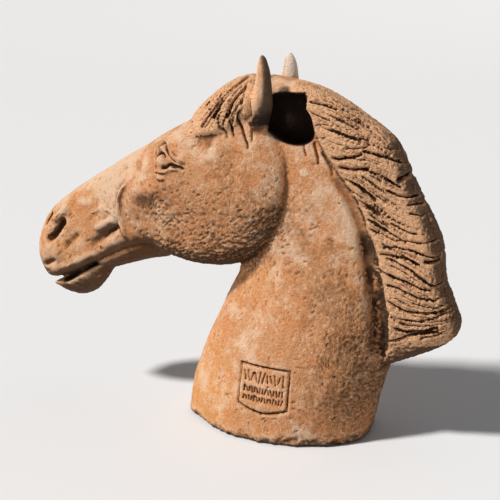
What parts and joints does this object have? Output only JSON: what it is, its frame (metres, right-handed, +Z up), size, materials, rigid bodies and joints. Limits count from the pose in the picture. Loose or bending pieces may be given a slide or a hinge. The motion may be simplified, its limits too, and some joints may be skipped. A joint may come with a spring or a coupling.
{
  "type": "terracotta horse head bust",
  "caption": "Moulded terracotta bust of a horse's head and neck, with a combed upright mane, pricked ears and a forelock, cut flat below the neck to stand on a wall or plinth.",
  "frame": {"origin": "on the flat underside, below the middle of the neck", "axes": "the horse looks along -X, its left side faces -Y, +Z is up"},
  "size_m": [0.5691, 0.1704, 0.4594],
  "materials": {
    "terracotta": null
  },
  "bodies": {
    "root": {"horse_head": "terracotta"}
  },
  "joints": []
}
